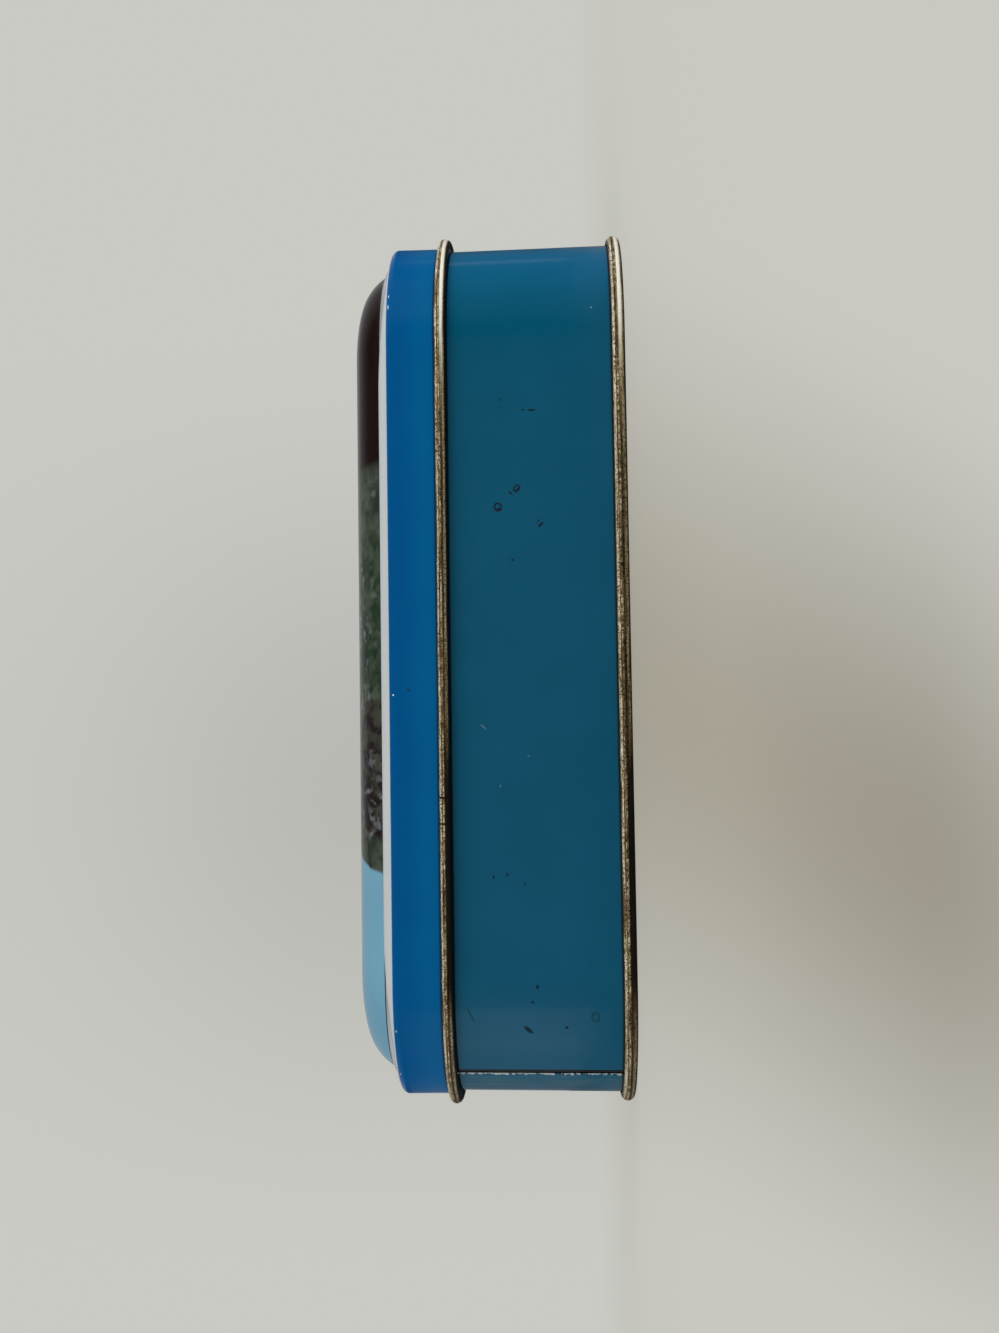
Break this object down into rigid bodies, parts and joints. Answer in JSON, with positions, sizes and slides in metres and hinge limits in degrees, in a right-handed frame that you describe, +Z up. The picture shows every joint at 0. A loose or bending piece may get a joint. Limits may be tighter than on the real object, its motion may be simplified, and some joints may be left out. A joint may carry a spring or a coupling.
{
  "type": "toffee tin",
  "caption": "Rectangular slip-lid toffee tin with round corners: embossed lid panel, curled lid edge, lock-seamed wall and rolled bottom seam; the lid lifts off.",
  "frame": {"origin": "on the surface that the tin stands on, below the middle of its bounding box", "axes": "+X along the tin's length, +Y across it, +Z up through the lid"},
  "size_m": [0.166, 0.1152, 0.0504],
  "materials": {
    "body_paint": "glossy teal-blue print over tinplate, with small scratches",
    "bare_tinplate": "bare tinplate, tarnished brown along its bead",
    "lid_paint": "glossy blue print with a white border and a printed panel"
  },
  "bodies": {
    "tin": {"body_wall": "body_paint", "bottom_plate": "bare_tinplate"},
    "lid": {"lid": "lid_paint"}
  },
  "joints": [
    {"name": "lid_lift", "type": "slide", "parent": "tin", "child": "lid", "axis": [0, 0, 1], "range_m": [0, 0.03]}
  ]
}
